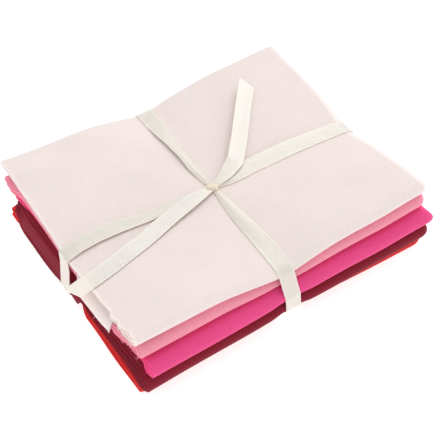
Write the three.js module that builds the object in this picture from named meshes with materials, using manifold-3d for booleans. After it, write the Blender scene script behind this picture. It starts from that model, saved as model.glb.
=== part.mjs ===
// A bundle of five plain cotton fat quarters, each folded to the same oblong, stacked in
// shades from red to blush and tied crosswise like a parcel with one satin ribbon.
// Millimetres, +Z up. +X runs along the stack's long side, +Y from its folded front to the back.

import * as THREE from "three";
import { mergeVertices } from "three/addons/utils/BufferGeometryUtils.js";
import Module from "manifold-3d";

const wasm = await Module();
wasm.setup();

// Driving sizes of the stack.
const RIM_HEIGHT = 33.2; // the stack at its four corners
const CROWN = 1.0; // how much higher its middle would stand untied
const GRIP_DEPTH = 6.4; // how far the tie presses the top down
const BITE = { front: 2.5, back: 2.0, left: 0.6, right: 1.8 }; // and how much deeper at the edges
const GRIP_SPREAD = 20; // how far from the tie the cloth takes to rise again
const CLOTH_GAP = 0.45; // between one cloth and the next
const HALF_LENGTH = 70; // of the stack, at which the crown has run out and the tie bites fully
const HALF_WIDTH = 56;

// The tie's two lines across the top, and the strip that it presses level.
const TIE_X = -1.8; // of the band that runs front to back
const TIE_Y = -2.7; // of the band that runs left to right
const PRESSED_HALF = 5;

// The shallow channels that the tie presses into the underside, so that the cloth still rests flat.
const CHANNEL_LIFT = 1.45;
const CHANNEL_Y = 0.7; // middle of the left to right channel
const CHANNEL_HALF_X = 5;
const CHANNEL_HALF_Y = 8;
const CHANNEL_SIDE = 4.5; // run of its sloping side

// The ribbon.
const RIBBON_WIDTH = 7;
const RIBBON_THICK = 1;
const RIBBON_CLEAR = 0.4; // between the ribbon and the cloth
const GATHERED_WIDTH = 3.2; // where it is drawn into the knot
const GATHER_REACH = 40; // distance from the knot at which it is flat again
const RIBBON_STEP = 11; // longest straight step along a band
const KNOT = { x: -2.3, y: -2.6, long: 6.2, wide: 5.0, high: 3.0, turn: 25, rings: 8, sides: 14 };

// A cloth is folded in four across its length and shown as four layers, which run
// back and forth from front to back. Shares are parts of the cloth's folded height.
const LAYER_SHARE = 0.2;
const SLIT_SHARE = (1 - 4 * LAYER_SHARE) / 3;
const FOLD_REACH = 0.42; // depth of the big front fold against the height
const INNER_FOLD_REACH = 0.2;
const FOLD_STEPS = 6;
const INNER_FOLD_STEPS = 4;

// One row for each cloth, from the bottom. full: folded height; gripped: share of it left under the tie;
// left, right: its ends; front and back: its edges at the left and the right end; tuck, pull: how far
// the tie draws the front fold and the right end in; open: how far its two cut ends lie inside the back fold;
// steps: how far each layer's left end is set in, lowest first; rounding: the same at the right end.
const CLOTHS = [
  { name: "cloth_red", colour: "#cf2b2e", full: 5.0, gripped: 0.90, left: -70.7, right: 68.8,
    frontLeft: -56.2, frontRight: -57.8, backLeft: 56.0, backRight: 54.6, tuck: 2.6, pull: 0,
    open: [0.6, 2.2], steps: [0, 0.3, 0.2, 0.9], rounding: [0.9, 0, 0.2, 1.0] },
  { name: "cloth_wine", colour: "#86243c", full: 6.4, gripped: 0.84, left: -69.6, right: 70.6,
    frontLeft: -60.6, frontRight: -59.5, backLeft: 53.0, backRight: 54.4, tuck: 0.8, pull: 1.2,
    open: [1.4, 0.4], steps: [0, 0.7, 1.3, 1.9], rounding: [1.6, 0.2, 0, 1.2] },
  { name: "cloth_fuchsia", colour: "#e8447f", full: 7.8, gripped: 0.80, left: -67.2, right: 73.2,
    frontLeft: -60.7, frontRight: -59.4, backLeft: 52.0, backRight: 53.4, tuck: 1.6, pull: 3.6,
    open: [0.8, 2.6], steps: [0.2, 0.9, 0.4, 0], rounding: [0.4, 0, 1.6, 3.2] },
  { name: "cloth_rose", colour: "#f093a8", full: 6.2, gripped: 0.55, left: -69.2, right: 70.2,
    frontLeft: -55.6, frontRight: -54.8, backLeft: 54.4, backRight: 54.0, tuck: 1.2, pull: 0.8,
    open: [2.0, 0.5], steps: [0, 0.4, 0.9, 0.2], rounding: [1.8, 0.6, 0, 0.6] },
  { name: "cloth_blush", colour: "#f3e6e4", full: 6.4, gripped: 0.52, left: -70.3, right: 71.2,
    frontLeft: -53.5, frontRight: -53.7, backLeft: 57.2, backRight: 56.2, tuck: 0, pull: 1.0,
    open: [1.2, 2.4], steps: [0, 0.5, 0.2, 0], rounding: [1.2, 0, 0.2, 1.4] },
];

// The lowest layer of the top cloth has slipped out at the left and hangs over the edge there, from
// one y to another. slope: run of its two sides; soon: how fast the slip ends above that layer.
const FLAP = { name: "cloth_blush", layer: 0, from: -44, to: -10, slope: 4, out: 4, drop: 3.4, soon: 3 };

// Where the cloths are cut into facets: the same lines in every cloth, so that their gaps stay even.
const STATIONS_X = [-52, -24, -11.3, -6.8, 3.2, 7.7, 22, 52];
const STATIONS_Y = [-43, -26, -12, -7.5, 2.3, 8.7, 13.2, 32];
const END_STATION = 0.9; // last line before a cloth's left end
const CORNER = 4.5; // run of the rounded corners at the right end
const CORNER_SET = { front: 1.7, back: 1.1 }; // how far they bring the edges in

// The free tails of the ribbon, from the knot outwards. x, y: middle of the ribbon;
// lift: height of its underside over the cloth; roll: degrees that its left edge is raised;
// wide: width there.
const TAIL_TO_BACK = [
  { x: -1.5, y: -2.0, lift: 2.0, roll: 0, wide: 3.4 },
  { x: 6.0, y: -0.1, lift: 3.0, roll: 10, wide: 5.6 },
  { x: 12.9, y: 3.2, lift: 3.0, roll: 20, wide: 7 },
  { x: 21.5, y: 12.9, lift: 2.2, roll: 22, wide: 7 },
  { x: 31.5, y: 24.9, lift: 2.0, roll: 22, wide: 7 },
  { x: 42.5, y: 37.8, lift: 2.4, roll: 22, wide: 7 },
];
const TAIL_TO_LEFT = [
  { x: -3.5, y: -3.0, lift: 2.0, roll: 0, wide: 3.4 },
  { x: -14.0, y: -4.6, lift: 2.6, roll: 0, wide: 6.2 },
  { x: -27.0, y: -7.6, lift: 1.6, roll: 0, wide: 7 },
  { x: -42.0, y: -12.6, lift: 0.7, roll: 0, wide: 7 },
  { x: -58.0, y: -16.6, lift: 0.5, roll: 0, wide: 7 },
  { x: -69.5, y: -18.6, lift: 0.8, roll: 0, wide: 7 },
  { x: -77.5, y: -19.4, lift: -0.6, roll: 0, wide: 7 },
];
const TAIL_CUT = 3; // how much further one edge of a slanted cut reaches

const mix = (a, b, share) => a + (b - a) * share;
const clamp01 = (value) => Math.min(1, Math.max(0, value));

// How firmly the tie presses at a point: 1 under it, fading to the quarters between its bands.
function pressAcross(distance) {
  return Math.exp(-Math.max(0, Math.abs(distance) - PRESSED_HALF) / GRIP_SPREAD);
}

function press(x, y) {
  return 1 - (1 - pressAcross(x - TIE_X)) * (1 - pressAcross(y - TIE_Y));
}

// Height of the stack's top over the surface that it lies on: a low crown, less two grooves that meet.
function topHeight(x, y) {
  const alongX = x / HALF_LENGTH;
  const alongY = y / HALF_WIDTH;
  const crown = CROWN * Math.max(0, 1 - alongX ** 2) * Math.max(0, 1 - alongY ** 2);
  const grooveY = pressAcross(x - TIE_X) * (GRIP_DEPTH + (y < 0 ? BITE.front : BITE.back) * alongY ** 4);
  const grooveX = pressAcross(y - TIE_Y) * (GRIP_DEPTH + (x < 0 ? BITE.left : BITE.right) * alongX ** 4);
  return RIM_HEIGHT + crown - (grooveX + grooveY - (grooveX * grooveY) / GRIP_DEPTH);
}

// Height of the stack's underside: nought but for the channels.
function underside(x, y) {
  const alongY = clamp01(1 - (Math.abs(x - TIE_X) - CHANNEL_HALF_X) / CHANNEL_SIDE);
  const alongX = clamp01(1 - (Math.abs(y - CHANNEL_Y) - CHANNEL_HALF_Y) / CHANNEL_SIDE);
  return CHANNEL_LIFT * Math.max(alongX, alongY);
}

// The room that a cloth has at a point: the height of its underside, and its own height.
function roomOf(index, x, y) {
  const pressed = press(x, y);
  const shares = CLOTHS.map((cloth) => cloth.full * mix(1, cloth.gripped, pressed));
  const total = shares.reduce((sum, share) => sum + share, 0);
  const bottom = underside(x, y);
  const unit = (topHeight(x, y) - bottom - CLOTH_GAP * (CLOTHS.length - 1)) / total;
  const below = shares.slice(0, index).reduce((sum, share) => sum + share, 0);
  return { base: bottom + below * unit + CLOTH_GAP * index, height: shares[index] * unit };
}

// A closed slab between two grids of points, which it skins, with its four borders stitched.
// outer[i][j] and inner[i][j]: i runs along the slab, j across it. Facets are halved the same way,
// seen from above, whichever way the slab runs, so that layers which follow each other stay apart.
function slab(outer, inner, closed = false) {
  const along = outer.length;
  const across = outer[0].length;
  const positions = [...outer, ...inner].flat().flatMap((point) => [point.x, point.y, point.z]);
  const over = (i, j) => (i % along) * across + j;
  const under = (i, j) => over(i, j) + along * across;
  const faces = [];
  const quad = (a, b, c, d) => faces.push(a, b, c, a, c, d);
  const lengths = closed ? along : along - 1;
  for (let i = 0; i < lengths; i += 1) {
    const forwards = outer[(i + 1) % along][0].y > outer[i][0].y;
    const cut = (a, b, c, d) => (forwards ? quad(a, b, c, d) : quad(b, c, d, a));
    for (let j = 0; j < across - 1; j += 1) {
      cut(over(i, j), over(i, j + 1), over(i + 1, j + 1), over(i + 1, j));
      cut(under(i, j), under(i + 1, j), under(i + 1, j + 1), under(i, j + 1));
    }
    quad(over(i, 0), over(i + 1, 0), under(i + 1, 0), under(i, 0));
    quad(over(i + 1, across - 1), over(i, across - 1), under(i, across - 1), under(i + 1, across - 1));
  }
  for (let j = 0; j < across - 1 && !closed; j += 1) {
    quad(over(0, j + 1), over(0, j), under(0, j), under(0, j + 1));
    quad(over(along - 1, j), over(along - 1, j + 1), under(along - 1, j + 1), under(along - 1, j));
  }
  const geometry = new THREE.BufferGeometry();
  geometry.setAttribute("position", new THREE.Float32BufferAttribute(positions, 3));
  geometry.setIndex(faces);
  return geometry;
}

// A cloth's section is a row of nodes, each with a point on either side of the sheet, left and right as
// seen along the way. share: its height in the cloth; set: how far it lies inside the edge named, where
// there is one; y: its place where there is none; layer: which layer it belongs to, or lies between.

// The two sides of a layer.
function sidesOf(layer, leftIsLow, set = 0) {
  const low = { share: layer * (LAYER_SHARE + SLIT_SHARE), set };
  const high = { share: low.share + LAYER_SHARE, set };
  return leftIsLow ? { left: low, right: high } : { left: high, right: low };
}

// A straight stretch of a layer, with a node at each line: lower layers run to the front, others back.
function straight(layer, leftIsLow) {
  const nodes = STATIONS_Y.map((y) => ({ edge: "none", y, layer, ...sidesOf(layer, leftIsLow) }));
  return leftIsLow ? nodes.reverse() : nodes;
}

// A fold: half an ellipse outside and half a smaller one inside. layers: the two that it joins;
// turn: 1 as it rises, -1 as it falls; leftOutside: whether the sheet's left side is the outer one.
function fold({ edge, set, reach, wall, middle, rise, innerRise, steps, layers, turn, leftOutside }) {
  return Array.from({ length: steps + 1 }, (_, step) => {
    const angle = turn * Math.PI * (step / steps - 0.5);
    const drawn = 1 - Math.cos(angle);
    const outer = { share: middle + rise * Math.sin(angle), set: set + reach * drawn };
    const inner = { share: middle + innerRise * Math.sin(angle), set: set + wall + (reach - wall) * drawn };
    const sides = leftOutside ? { left: outer, right: inner } : { left: inner, right: outer };
    return { edge, layer: mix(layers[0], layers[1], step / steps), ...sides };
  });
}

// The section from the lowest cut end to the other one: along the bottom, up round the big front fold,
// along the top, down round the back fold, and inwards round a small fold inside the front one.
function foldedSection(cloth) {
  const wall = cloth.full * LAYER_SHARE;
  const slit = cloth.full * SLIT_SHARE;
  const reach = cloth.full * INNER_FOLD_REACH + wall;
  const bigFold = {
    edge: "front", set: 0, reach: cloth.full * FOLD_REACH + wall, wall, layers: [0, 3], turn: 1,
    middle: 0.5, rise: 0.5, innerRise: 0.5 - LAYER_SHARE, steps: FOLD_STEPS, leftOutside: true,
  };
  const pair = {
    wall, reach, turn: -1, rise: LAYER_SHARE + SLIT_SHARE / 2, innerRise: SLIT_SHARE / 2,
    steps: INNER_FOLD_STEPS,
  };
  const backFold = {
    ...pair, edge: "back", set: 0, layers: [3, 2], middle: 1 - pair.rise, leftOutside: true,
  };
  const smallFold = {
    ...pair, edge: "front", set: wall + slit, layers: [2, 1], middle: 0.5, leftOutside: false,
  };
  return [
    { edge: "back", layer: 0, ...sidesOf(0, true, cloth.open[0]) },
    ...straight(0, true),
    ...fold(bigFold),
    ...straight(3, false),
    ...fold(backFold),
    ...straight(2, true),
    ...fold(smallFold),
    ...straight(1, false),
    { edge: "back", layer: 1, ...sidesOf(1, false, cloth.open[1]) },
  ];
}

// A cloth's solid: its section carried from the left end to the right, with uneven ends.
function clothGeometry(cloth, index) {
  const section = foldedSection(cloth);
  const inside = STATIONS_X.filter((x) => x > cloth.left + END_STATION && x < cloth.right - CORNER);
  const lines = [cloth.left, cloth.left + END_STATION, ...inside, cloth.right - CORNER, cloth.right];
  const last = lines.length - 1;
  const placed = (node, line, side) => {
    const x = lines[line];
    const { share, set } = node[side];
    const length = (x - cloth.left) / (cloth.right - cloth.left);
    const corner = line === last ? CORNER_SET : { front: 0, back: 0 };
    const tucked = cloth.tuck * pressAcross(x - TIE_X);
    const front = mix(cloth.frontLeft, cloth.frontRight, length) + tucked + corner.front;
    const back = mix(cloth.backLeft, cloth.backRight, length) - corner.back;
    const y = { front: front + set, back: back - set, none: node.y }[node.edge];
    const room = roomOf(index, x, y);
    const point = new THREE.Vector3(x, y, room.base + share * room.height);
    if (line <= 1) point.x += stepAt(cloth.steps, node.layer);
    if (line >= last - 1) point.x -= cloth.pull * pressAcross(y - TIE_Y);
    if (line === last) point.x -= stepAt(cloth.rounding, node.layer);
    if (line === 0 && cloth.name === FLAP.name) hangFlap(point, node.layer);
    return point;
  };
  const side = (name) => section.map((node) => lines.map((_, line) => placed(node, line, name)));
  return slab(side("left"), side("right"));
}

// How far a layer's end is set in; between two layers, the amount between theirs.
function stepAt(steps, layer) {
  const lower = Math.floor(layer);
  const upper = Math.min(steps.length - 1, lower + 1);
  return mix(steps[lower], steps[upper], layer - lower);
}

function hangFlap(point, layer) {
  const along = Math.min(point.y - FLAP.from, FLAP.to - point.y) / FLAP.slope;
  const share = clamp01(along) * clamp01(1 - Math.abs(layer - FLAP.layer) * FLAP.soon);
  point.x -= FLAP.out * share;
  point.z -= FLAP.drop * share;
}

const STRAIGHT = 1e-3; // a turn smaller than this, as an area, is none
const MERGED = 0.8; // corners closer together than this are taken as one
const REACH_OVER = 0.1; // how far beside the band cloth still lifts it

// The outline that a taut band takes round a set of points: the convex loop through the outermost.
function loopRound(points) {
  const sorted = [...points].sort((a, b) => a.x - b.x || a.y - b.y);
  const half = (ordered) => ordered.reduce((chain, point) => {
    while (chain.length > 1 && !turnsLeft(chain.at(-2), chain.at(-1), point)) chain.pop();
    return [...chain, point];
  }, []).slice(0, -1);
  return [...half(sorted), ...half([...sorted].reverse())];
}

function turnsLeft(a, b, c) {
  return (b.x - a.x) * (c.y - a.y) - (b.y - a.y) * (c.x - a.x) > STRAIGHT;
}

// The loop with each corner moved out, so that its sides lie a distance further out.
function widened(loop, distance) {
  return loop.map((point, index) => {
    const before = loop[(index + loop.length - 1) % loop.length];
    const after = loop[(index + 1) % loop.length];
    const first = outward(before, point);
    const second = outward(point, after);
    const miter = distance / (1 + first.dot(second));
    return point.clone().addScaledVector(first, miter).addScaledVector(second, miter);
  });
}

function outward(from, to) {
  const way = to.clone().sub(from).normalize();
  return new THREE.Vector2(way.y, -way.x);
}

// How many steps each side of a loop is cut into: a band needs them where its width changes.
function stepsOf(loop) {
  const next = (index) => loop[(index + 1) % loop.length];
  return loop.map((point, index) => Math.max(1, Math.ceil(point.distanceTo(next(index)) / RIBBON_STEP)));
}

function stepped(loop, counts) {
  return loop.flatMap((point, index) => {
    const next = loop[(index + 1) % loop.length];
    return Array.from({ length: counts[index] }, (_, step) => point.clone().lerp(next, step / counts[index]));
  });
}

function thinned(loop) {
  return loop.filter((point, index) => {
    const before = loop[(index + loop.length - 1) % loop.length];
    return point.distanceTo(before) > MERGED;
  });
}

const ON_TOP = 0.7; // share of the height above which a band runs over the top

// One band of the tie, round all the cloths: along "y" it runs front to back, along "x" left to right.
// drift: where its middle lies across it at the four corners of its loop.
function bandGeometry(vertices, along, drift) {
  const across = along === "y" ? "x" : "y";
  const channel = along === "y" ? { middle: TIE_X, half: CHANNEL_HALF_X }
    : { middle: CHANNEL_Y, half: CHANNEL_HALF_Y };
  const near = vertices.filter((v) => Math.abs(v[across] - channel.middle) < channel.half + REACH_OVER);
  const loop = thinned(loopRound(near.map((v) => new THREE.Vector2(v[along], v.z))));
  const low = Math.min(...loop.map((point) => point.x));
  const high = Math.max(...loop.map((point) => point.x));
  const knotAlong = along === "y" ? KNOT.y : KNOT.x;
  const place = (point, side) => {
    const share = clamp01((point.x - low) / (high - low));
    const rise = clamp01(point.y / topHeight(TIE_X, TIE_Y));
    const below = mix(drift.lowStart, drift.lowEnd, share);
    const above = mix(drift.topStart, drift.topEnd, share);
    const flat = rise > ON_TOP ? clamp01(Math.abs(point.x - knotAlong) / GATHER_REACH) ** 2 : 1;
    const width = mix(GATHERED_WIDTH, RIBBON_WIDTH, flat);
    const offset = mix(below, above, rise) + (side * width) / 2;
    const [x, y] = along === "y" ? [offset, point.x] : [point.x, offset];
    return new THREE.Vector3(x, y, point.y);
  };
  const counts = stepsOf(loop);
  const inner = stepped(widened(loop, RIBBON_CLEAR), counts);
  const outer = stepped(widened(loop, RIBBON_CLEAR + RIBBON_THICK), counts);
  const sides = along === "y" ? [1, -1] : [-1, 1];
  const rows = (ring) => ring.map((point) => sides.map((side) => place(point, side)));
  return slab(rows(outer), rows(inner), true);
}

// A free tail: a strip over the cloth, whose last cut is slanted.
function tailGeometry(rows, cutSide) {
  const points = rows.map((row) => new THREE.Vector2(row.x, row.y));
  const place = (row, index, side, level) => {
    const before = points[Math.max(0, index - 1)];
    const after = points[Math.min(points.length - 1, index + 1)];
    const way = after.clone().sub(before).normalize();
    const roll = THREE.MathUtils.degToRad(row.roll);
    const acrossBy = side * (row.wide / 2) * Math.cos(roll);
    const cut = index === rows.length - 1 ? (side === cutSide ? TAIL_CUT : -TAIL_CUT) / 2 : 0;
    const x = row.x - way.y * acrossBy + way.x * cut;
    const y = row.y + way.x * acrossBy + way.y * cut;
    const rest = Math.max(...[-1, 0, 1].map((edge) => topHeight(
      Math.max(-HALF_LENGTH, row.x - way.y * edge * row.wide / 2), row.y + way.x * edge * row.wide / 2)));
    const raised = (side + 1) * (row.wide / 2) * Math.sin(roll);
    return new THREE.Vector3(x, y, rest + row.lift + raised + level);
  };
  const rowsAt = (level) => rows.map((row, index) => [1, -1].map((side) => place(row, index, side, level)));
  return slab(rowsAt(RIBBON_THICK), rowsAt(0));
}

function knotGeometry(height) {
  const geometry = new THREE.SphereGeometry(0.5, KNOT.sides, KNOT.rings);
  geometry.scale(KNOT.long, KNOT.wide, KNOT.high);
  geometry.rotateZ(THREE.MathUtils.degToRad(KNOT.turn));
  geometry.translate(KNOT.x, KNOT.y, height);
  return geometry;
}

// Between three.js geometry and the solids that join.
function toSolid(geometry) {
  const bare = geometry.clone();
  bare.deleteAttribute("normal");
  bare.deleteAttribute("uv");
  const merged = mergeVertices(bare);
  const vertProperties = new Float32Array(merged.attributes.position.array);
  const triVerts = new Uint32Array(merged.index.array);
  return new wasm.Manifold(new wasm.Mesh({ numProp: 3, vertProperties, triVerts }));
}

function toGeometry(solid) {
  const mesh = solid.getMesh();
  const geometry = new THREE.BufferGeometry();
  geometry.setAttribute("position", new THREE.Float32BufferAttribute(mesh.vertProperties, 3));
  geometry.setIndex(Array.from(mesh.triVerts));
  return geometry;
}

function meshOf(name, geometry, colour, roughness) {
  geometry.computeVertexNormals();
  const material = new THREE.MeshStandardMaterial({ color: colour, roughness, metalness: 0 });
  const mesh = new THREE.Mesh(geometry, material);
  mesh.name = name;
  return mesh;
}

const bundle = new THREE.Group();
const clothGeometries = CLOTHS.map(clothGeometry);
CLOTHS.forEach((cloth, index) => bundle.add(meshOf(cloth.name, clothGeometries[index], cloth.colour, 0.9)));

const vertices = clothGeometries.flatMap(({ attributes: { position } }) => (
  Array.from({ length: position.count }, (_, i) => new THREE.Vector3().fromBufferAttribute(position, i))
));
const ribbonParts = [
  bandGeometry(vertices, "y", { lowStart: -1.3, lowEnd: -1.9, topStart: -2.1, topEnd: -1.9 }),
  bandGeometry(vertices, "x", { lowStart: 4.2, lowEnd: -2.8, topStart: -2.0, topEnd: -3.0 }),
  knotGeometry(topHeight(KNOT.x, KNOT.y) + KNOT.high / 2 + RIBBON_CLEAR),
  tailGeometry(TAIL_TO_BACK, 1),
  tailGeometry(TAIL_TO_LEFT, -1),
];
const ribbon = ribbonParts.map(toSolid).reduce((joined, part) => joined.add(part));
bundle.add(meshOf("ribbon_tie", toGeometry(ribbon), "#f1eee6", 0.45));

// The origin lies under the middle of the whole bundle, on the surface that it rests on.
const middle = new THREE.Box3().setFromObject(bundle).getCenter(new THREE.Vector3());
bundle.position.set(-middle.x, -middle.y, 0);

export default bundle;
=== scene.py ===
"""A bundle of folded cotton cloths tied crosswise with a satin ribbon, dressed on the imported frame.

Each cloth is one whole fat quarter, halved twice each way into sixteen plies, and is worked out as a grid:
down the grid run the plies' back-and-forth folds from front to back, and along it those from left to right.
Sizes in this file are in millimetres unless a property shows its own unit.
"""

import math

import bpy
import numpy as np
from bpy.props import FloatProperty, FloatVectorProperty, PointerProperty
from bpy.types import Operator, Panel, PropertyGroup
from mathutils import Matrix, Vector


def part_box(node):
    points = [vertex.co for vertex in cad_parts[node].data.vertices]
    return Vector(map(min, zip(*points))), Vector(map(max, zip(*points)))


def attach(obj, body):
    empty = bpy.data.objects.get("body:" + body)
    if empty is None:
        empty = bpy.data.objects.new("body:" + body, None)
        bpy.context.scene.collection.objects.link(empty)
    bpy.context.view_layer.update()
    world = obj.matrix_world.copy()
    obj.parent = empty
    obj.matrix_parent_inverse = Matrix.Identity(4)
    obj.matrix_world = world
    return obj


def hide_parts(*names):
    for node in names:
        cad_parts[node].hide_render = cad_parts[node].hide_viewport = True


bl_info = {
    "name": "Tied fabric bundle",
    "version": (1, 0, 0),
    "blender": (4, 5, 0),
    "location": "View3D > Sidebar > Fabric bundle",
    "description": "Folded cotton cloths tied with a satin ribbon",
    "category": "Object",
}

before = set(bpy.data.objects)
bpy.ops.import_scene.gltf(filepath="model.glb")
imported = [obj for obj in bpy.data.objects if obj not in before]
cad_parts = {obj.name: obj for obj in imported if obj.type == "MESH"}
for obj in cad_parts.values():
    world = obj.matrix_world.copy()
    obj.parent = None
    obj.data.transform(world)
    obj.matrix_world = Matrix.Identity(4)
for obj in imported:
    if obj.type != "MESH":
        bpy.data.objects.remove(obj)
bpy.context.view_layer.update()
MM = 0.001

# The stack, as in the solids.
HALF_LENGTH, HALF_WIDTH = 70, 56
TIE_X, TIE_Y = -1.8, -2.7  # where the ribbon's two bands cross the top
PRESSED_HALF, PRESSED_EASE, PRESSED_ROUND = 5, 1.5, 2  # a band's groove: half-width, slack and rounding
BITE = {"front": 2.5, "back": 2.0, "left": 0.6, "right": 1.8}  # how much deeper the grooves get at an edge
CHANNEL_LIFT, CHANNEL_Y, CHANNEL_SIDE = 1.45, 0.7, 4.5  # the channels under the stack: height, place, slope
CHANNEL_HALF_X, CHANNEL_HALF_Y = 5, 8
CLOTH_GAP = 0.45  # between two cloths

# A cloth's layers and plies, as shares of its folded height: four layers of four plies.
LAYER, SLIT = 0.2, 0.2 / 3
PLY_STEP, PLY_THICK = 0.054, 0.036
PLY_FAN = (1, 0, 0, 0.5)  # how far each ply ends inside the second one, as a share of the spread
PLY_REACH = 1.5 * PLY_STEP + PLY_THICK / 2
BIG_FOLD, SMALL_FOLD = 0.52, 0.3  # depths of the big front fold and of the others, as shares of the height
OUTER_TURN, INNER_TURN = 1.3, 0.5  # depths of the turns from one ply to the next
END_ROOM = {"left": 0.35, "right": 1.5}  # what the turns take up at each end
CUT_RIGHT_SHIFT = 1.1  # how much further right a cloth lies that has its cut edges there
WAVER, WAVER_LENGTH = 0.3, 45  # how far the long edges waver, and over what length
LAYER_STEPS = (56, 32, 32, 64)  # grid rows along each layer, lowest first
PLY_STEPS = (54, 34, 34, 34)  # grid columns along each ply, in the cloth's own order
FLAP_Y = -40  # where the blush cloth's hanging edge starts, which takes closer rows
STEPS_REACH, STEPS_START = 9, 0.15  # how the steps at the left grow in behind the front fold
SAG_REACH = 14  # how far from the left end the layers' shifts fade
HIGHLIGHT_REACH = 0.35  # how far from a cloth's end its painted highlight fades

# The right corners are drawn in over this length, by these amounts.
CORNER = 4.5
CORNER_SET = {"front": 1.7, "back": 1.1}

# One row for each cloth, from the bottom. full: folded height; gripped: share of it left under the tie;
# left, right: its ends; front, back: its edges at the left and the right end; tuck, pull: how far the
# tie draws the front and the right end in; open: how far the two cut ends lie inside the back fold;
# steps, rounding: how far each layer's left and right end is set in, lowest first; sag: how far each
# layer has shifted up at the left end, as a share; spill: how much further out its left end lies, as
# pairs of a place from front to back and an amount; fan: how far the plies' ends are spread; cut_end: the
# end that has the cut edges.
CLOTHS = [
    dict(name="red", full=5.0, gripped=0.90, left=-70.7, right=68.8, front=(-56.2, -57.8), back=(56.0, 54.6),
         tuck=2.6, pull=0.0, open=(0.6, 2.2), steps=(0, 0.9, 0.2, 1.0), rounding=(0.9, 0, 0.2, 1.0),
         sag=(0, 0.01, -0.01, 0), fan=0.3, cut_end="right",
         spill=((-57, 0.3), (-13, 0.2), (-6, -2.2), (43, -2.2), (49, 0.1), (56, 0.0))),
    dict(name="wine", full=6.4, gripped=0.84, left=-69.6, right=70.6, front=(-60.6, -59.5), back=(53.0, 54.4),
         tuck=0.8, pull=1.2, open=(1.4, 0.4), steps=(-0.4, 0.5, 1.5, 2.6), rounding=(1.6, 0.2, 0, 1.2),
         sag=(0, -0.03, -0.02, 0), fan=0.3, cut_end="left",
         spill=((-60, 0.9), (-54, 0.2), (-20, 0.2), (0, 0.1), (30, 0.6), (42, 0.7), (48, 0.2), (53, 0.0))),
    dict(name="fuchsia", full=7.8, gripped=0.8, left=-67.2, right=73.2, front=(-60.7, -59.4), back=(52, 53.4),
         tuck=1.6, pull=3.6, open=(0.8, 2.6), steps=(2.6, 2.2, 1.3, 0), rounding=(0.4, 0, 1.6, 3.2),
         sag=(0, 0.01, 0.02, 0.01), fan=-0.1, cut_end="left",
         spill=((-60, 0.3), (-52, 1.1), (-44, 1.3), (-36, 0.6), (0, 0.4), (25, 0.7), (38, 1.0), (44, 2.0),
                (49, 2.6), (52, 2.0))),
    dict(name="rose", full=6.2, gripped=0.55, left=-69.2, right=70.2, front=(-55.6, -54.8), back=(54.4, 54.0),
         tuck=1.2, pull=0.8, open=(2.0, 0.5), steps=(0.9, 1.0, 0.3, 0), rounding=(1.8, 0.6, 0, 0.6),
         sag=(0, 0.02, -0.02, 0), fan=0.1, cut_end="left",
         spill=((-55, -0.2), (-51, 0.3), (-47, 1.7), (-41, 2.4), (-37, 1.2), (-20, 0.6), (36, 0.3), (44, 0.5),
                (48, 2.1), (51, 2.4), (54, 1.7))),
    dict(name="blush", full=6.4, gripped=0.52, left=-70.3, right=71.2, front=(-53.5, -53.7),
         back=(57.2, 56.2), tuck=0.0, pull=1.0, open=(1.2, 2.4), steps=(1.5, 1.2, 0.7, 0),
         rounding=(1.2, 0, 0.2, 1.4), sag=(0, -0.02, 0.02, 0), fan=-0.3, cut_end="left",
         spill=((-54, -0.6), (-51, 0.2), (-49, 1.1), (-47, 0.9), (-45.5, 0.1), (-43.5, 0.9), (-41.5, 1.0),
                (-39, -0.4), (-36, -0.2), (-30, 0.0), (57, 0.0))),
]

# A cloth's lowest layer has slipped out at the left between two places, and hangs down beyond a hinge.
# slopes: over how far it comes out at its front and back; skew: how far it leans to the front; follow: how
# far each layer takes part, lowest first.
SLIPPED = [
    dict(cloth="blush", start=-41, end=-9, slopes=(1.4, 5), skew=2.4, out=4.2, drop=3.4,
         hinge=-69.9, reach=3.2, follow=(1, 0, 0, 0)),
    dict(cloth="wine", start=-11, end=50, slopes=(4, 3.5), skew=0, out=0.6, drop=3.7,
         hinge=-68.0, reach=2.4, follow=(1, 0.9, 0.6, 0)),
]

# The bands along the top. at: place along the band; middle: of the band, across it; wide: its width there;
# tilt: degrees that its far edge is raised; ridge: how high its middle stands where it is drawn together.
ARM_COLUMNS = ("at", "middle", "wide", "tilt", "ridge")
FRONT_TO_BACK = [
    (-56, -1.7, 7.2, 0, 0.0), (-45, -1.7, 7.5, 0, 0.0), (-36, -1.9, 7.3, 4, 0.1), (-21, -2.6, 5.4, 10, 0.4),
    (-10, -2.3, 3.4, 8, 0.5), (-4.5, -2.1, 2.2, 0, 0.5), (0, -2.4, 2.4, 0, 0.5), (5, -2.7, 3.6, 0, 0.6),
    (12, -2.8, 4.6, -6, 0.7), (20, -2.5, 4.4, -12, 0.7), (30, -2.5, 4.8, -10, 0.6), (38, -2.3, 6.2, -5, 0.3),
    (45, -1.8, 7.3, 0, 0.0), (58, -0.9, 7.4, 0, 0.0),
]
LEFT_TO_RIGHT = [
    (-71, 0.6, 7.2, 0, 0.0), (-64, 1.6, 7.2, 0, 0.0), (-55, 1.7, 6.8, 0, 0.1), (-45, 0.9, 6.6, 0, 0.1),
    (-33, -1.2, 5.2, 0, 0.4), (-20, -1.4, 4.4, 0, 0.6), (-10, -1.8, 3.2, 0, 0.7), (-5, -2.4, 2.2, 0, 0.6),
    (0, -2.6, 2.4, 0, 0.6), (7, -2.6, 4.6, 4, 0.6), (12, -1.8, 6.2, 8, 0.4), (18, -1.0, 7.4, 10, 0.1),
    (37, -0.9, 7.6, 10, 0.0), (48, -1.1, 7.5, 7, 0.0), (62, -1.3, 7.3, 2, 0.0), (72, -1.8, 7.1, 0, 0.0),
]
# Where each band's middle lies across it lower down, at its low and its high end.
SIDE_MIDDLES = {"front to back": (-1.3, -1.9), "left to right": (4.2, -2.8)}
KNOT = dict(x=-2.8, y=-2.8, long=4.8, wide=3.4, high=2.0, turn=-34)

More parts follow.
